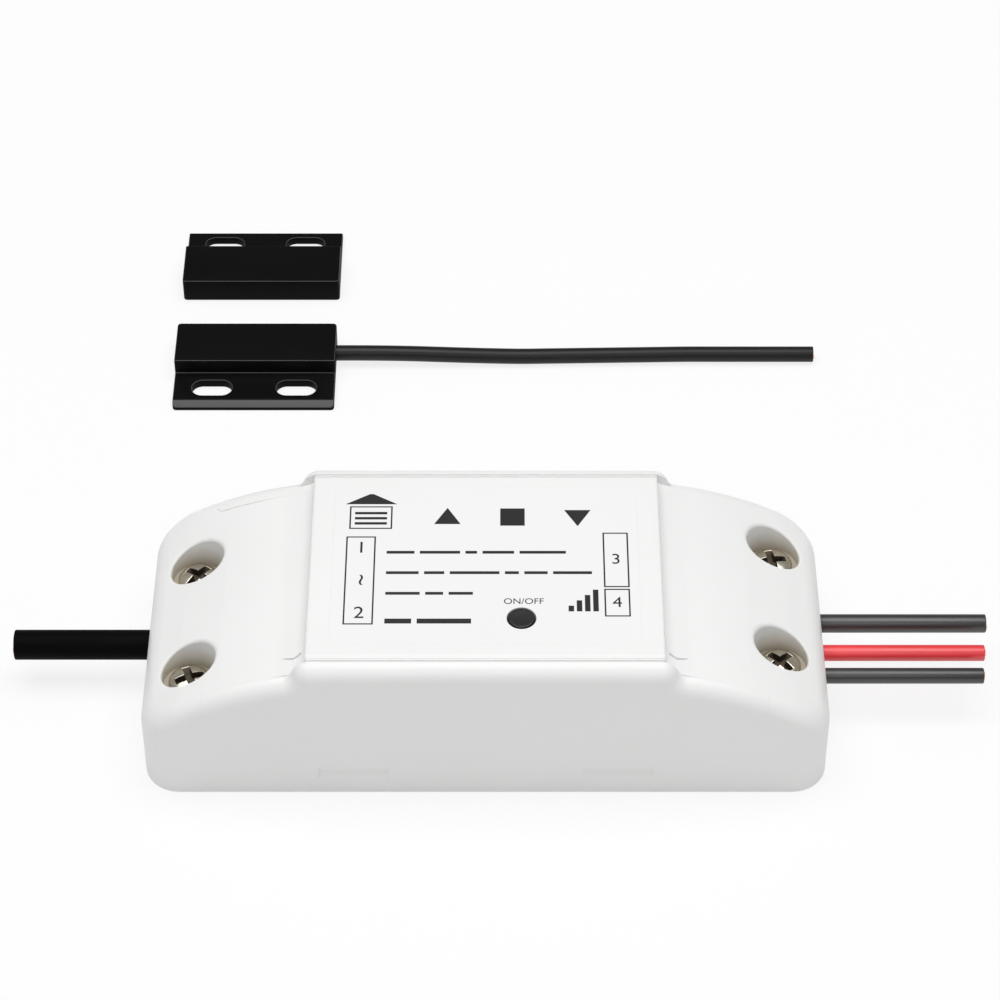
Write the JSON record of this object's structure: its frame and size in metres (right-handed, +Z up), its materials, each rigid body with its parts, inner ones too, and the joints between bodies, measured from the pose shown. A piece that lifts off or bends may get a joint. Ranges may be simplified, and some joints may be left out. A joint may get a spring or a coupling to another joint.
{
  "type": "garage door controller",
  "caption": "White relay box with a raised labelled lid, a push button, curved screwed end covers and short leads, with a flanged reed switch and magnet for the door.",
  "frame": {"origin": "middle of the case's underside, on the surface that the case and the sensor pair lie on", "axes": "+X along the case from the mains end to the output end, +Y from the case to the sensor pair, +Z up"},
  "size_m": [0.1295, 0.1125, 0.0231],
  "materials": {
    "case_white": "moulded satin with a faint grain",
    "label_print": "satin printed film",
    "button_black": "satin",
    "sensor_black": "fine satin",
    "cable_black": "smooth extruded sheath",
    "lead_red": "smooth extruded insulation",
    "core_brown": "smooth extruded insulation",
    "core_blue": "smooth extruded insulation",
    "core_white": "smooth extruded insulation",
    "copper": "bare copper",
    "screw_nickel": "nickel plated",
    "tinned_pins": "tinned",
    "spring_steel": "bright sheet",
    "iron": "plated soft iron",
    "board_green": "solder mask",
    "terminal_green": "satin",
    "socket_ivory": "satin",
    "relay_blue": "gloss",
    "coil_red": "enamelled wire",
    "ferrite": "ground ferrite",
    "bobbin_black": "satin",
    "tape_yellow": "tape",
    "capacitor_sleeve": "shrunk sleeve",
    "capacitor_green": "shrunk sleeve",
    "resistor_green": "cement",
    "varistor_blue": "dipped coating",
    "chip_black": "moulded",
    "opto_white": "moulded",
    "radio_blue": "solder mask",
    "led_clear": "clear lens",
    "reed_glass": "clear",
    "potting_black": "cast epoxy",
    "magnet_grey": "sintered"
  },
  "bodies": {
    "controller": {"base_shell": "case_white", "top_cover": "case_white", "input_end_cover": "case_white", "output_end_cover": "case_white", "end_cover_screws": "screw_nickel", "label_panel": "label_print", "switch_body": "chip_black", "switch_dome": "spring_steel", "circuit_board": "board_green", "board_screws": "screw_nickel", "solder_pins": "tinned_pins", "input_terminal_block": "terminal_green", "output_terminal_block": "terminal_green", "terminal_screws": "screw_nickel", "sensor_socket": "socket_ivory", "mains_sheath": "cable_black", "mains_live_core": "core_brown", "mains_neutral_core": "core_blue", "sensor_lead_sheath": "cable_black", "sensor_lead_cores": "core_white", "output_lead_red": "lead_red", "output_lead_black": "cable_black", "lead_conductors": "copper", "relay_base": "relay_blue", "relay_case": "relay_blue", "relay_yoke": "iron", "relay_core": "iron", "relay_bobbin": "socket_ivory", "relay_coil": "coil_red", "relay_fixed_contact": "copper", "transformer_core": "ferrite", "transformer_bobbin": "bobbin_black", "transformer_winding": "tape_yellow", "bulk_capacitors": "capacitor_sleeve", "output_capacitor": "capacitor_green", "inrush_resistor": "resistor_green", "varistor": "varistor_blue", "bridge_rectifier": "chip_black", "power_chip": "chip_black", "filter_choke": "ferrite", "optocoupler": "opto_white", "radio_board": "radio_blue", "radio_shield": "tinned_pins", "radio_antenna": "copper", "status_led": "led_clear", "reed_housing": "sensor_black", "reed_glass": "reed_glass", "reed_blades": "spring_steel", "reed_potting": "potting_black", "sensor_cable": "cable_black", "sensor_cable_cores": "copper"},
    "button": {"button_cap": "button_black", "switch_plunger": "bobbin_black"},
    "armature": {"relay_armature": "iron", "relay_contact_arm": "copper"},
    "magnet": {"magnet_housing": "sensor_black", "bar_magnet": "magnet_grey", "magnet_potting": "potting_black"}
  },
  "joints": [
    {"name": "button_press", "type": "slide", "parent": "controller", "child": "button", "axis": [0, 0, -1], "range_m": [0, 0.0005], "stiffness_N_per_m": 1500, "springref_m": -0.0003, "deforming": ["switch_dome"]},
    {"name": "armature_swing", "type": "hinge", "parent": "controller", "child": "armature", "pos_m": [0.00505, 0.00595, 0.0156], "axis": [0, 1, 0], "range_deg": [0, 2.5], "stiffness_Nm_per_rad": 0.08, "springref_deg": -2.86},
    {"name": "magnet_slide", "type": "slide", "parent": "controller", "child": "magnet", "axis": [0, 1, 0], "range_m": [-0.0075, 0.03]}
  ]
}
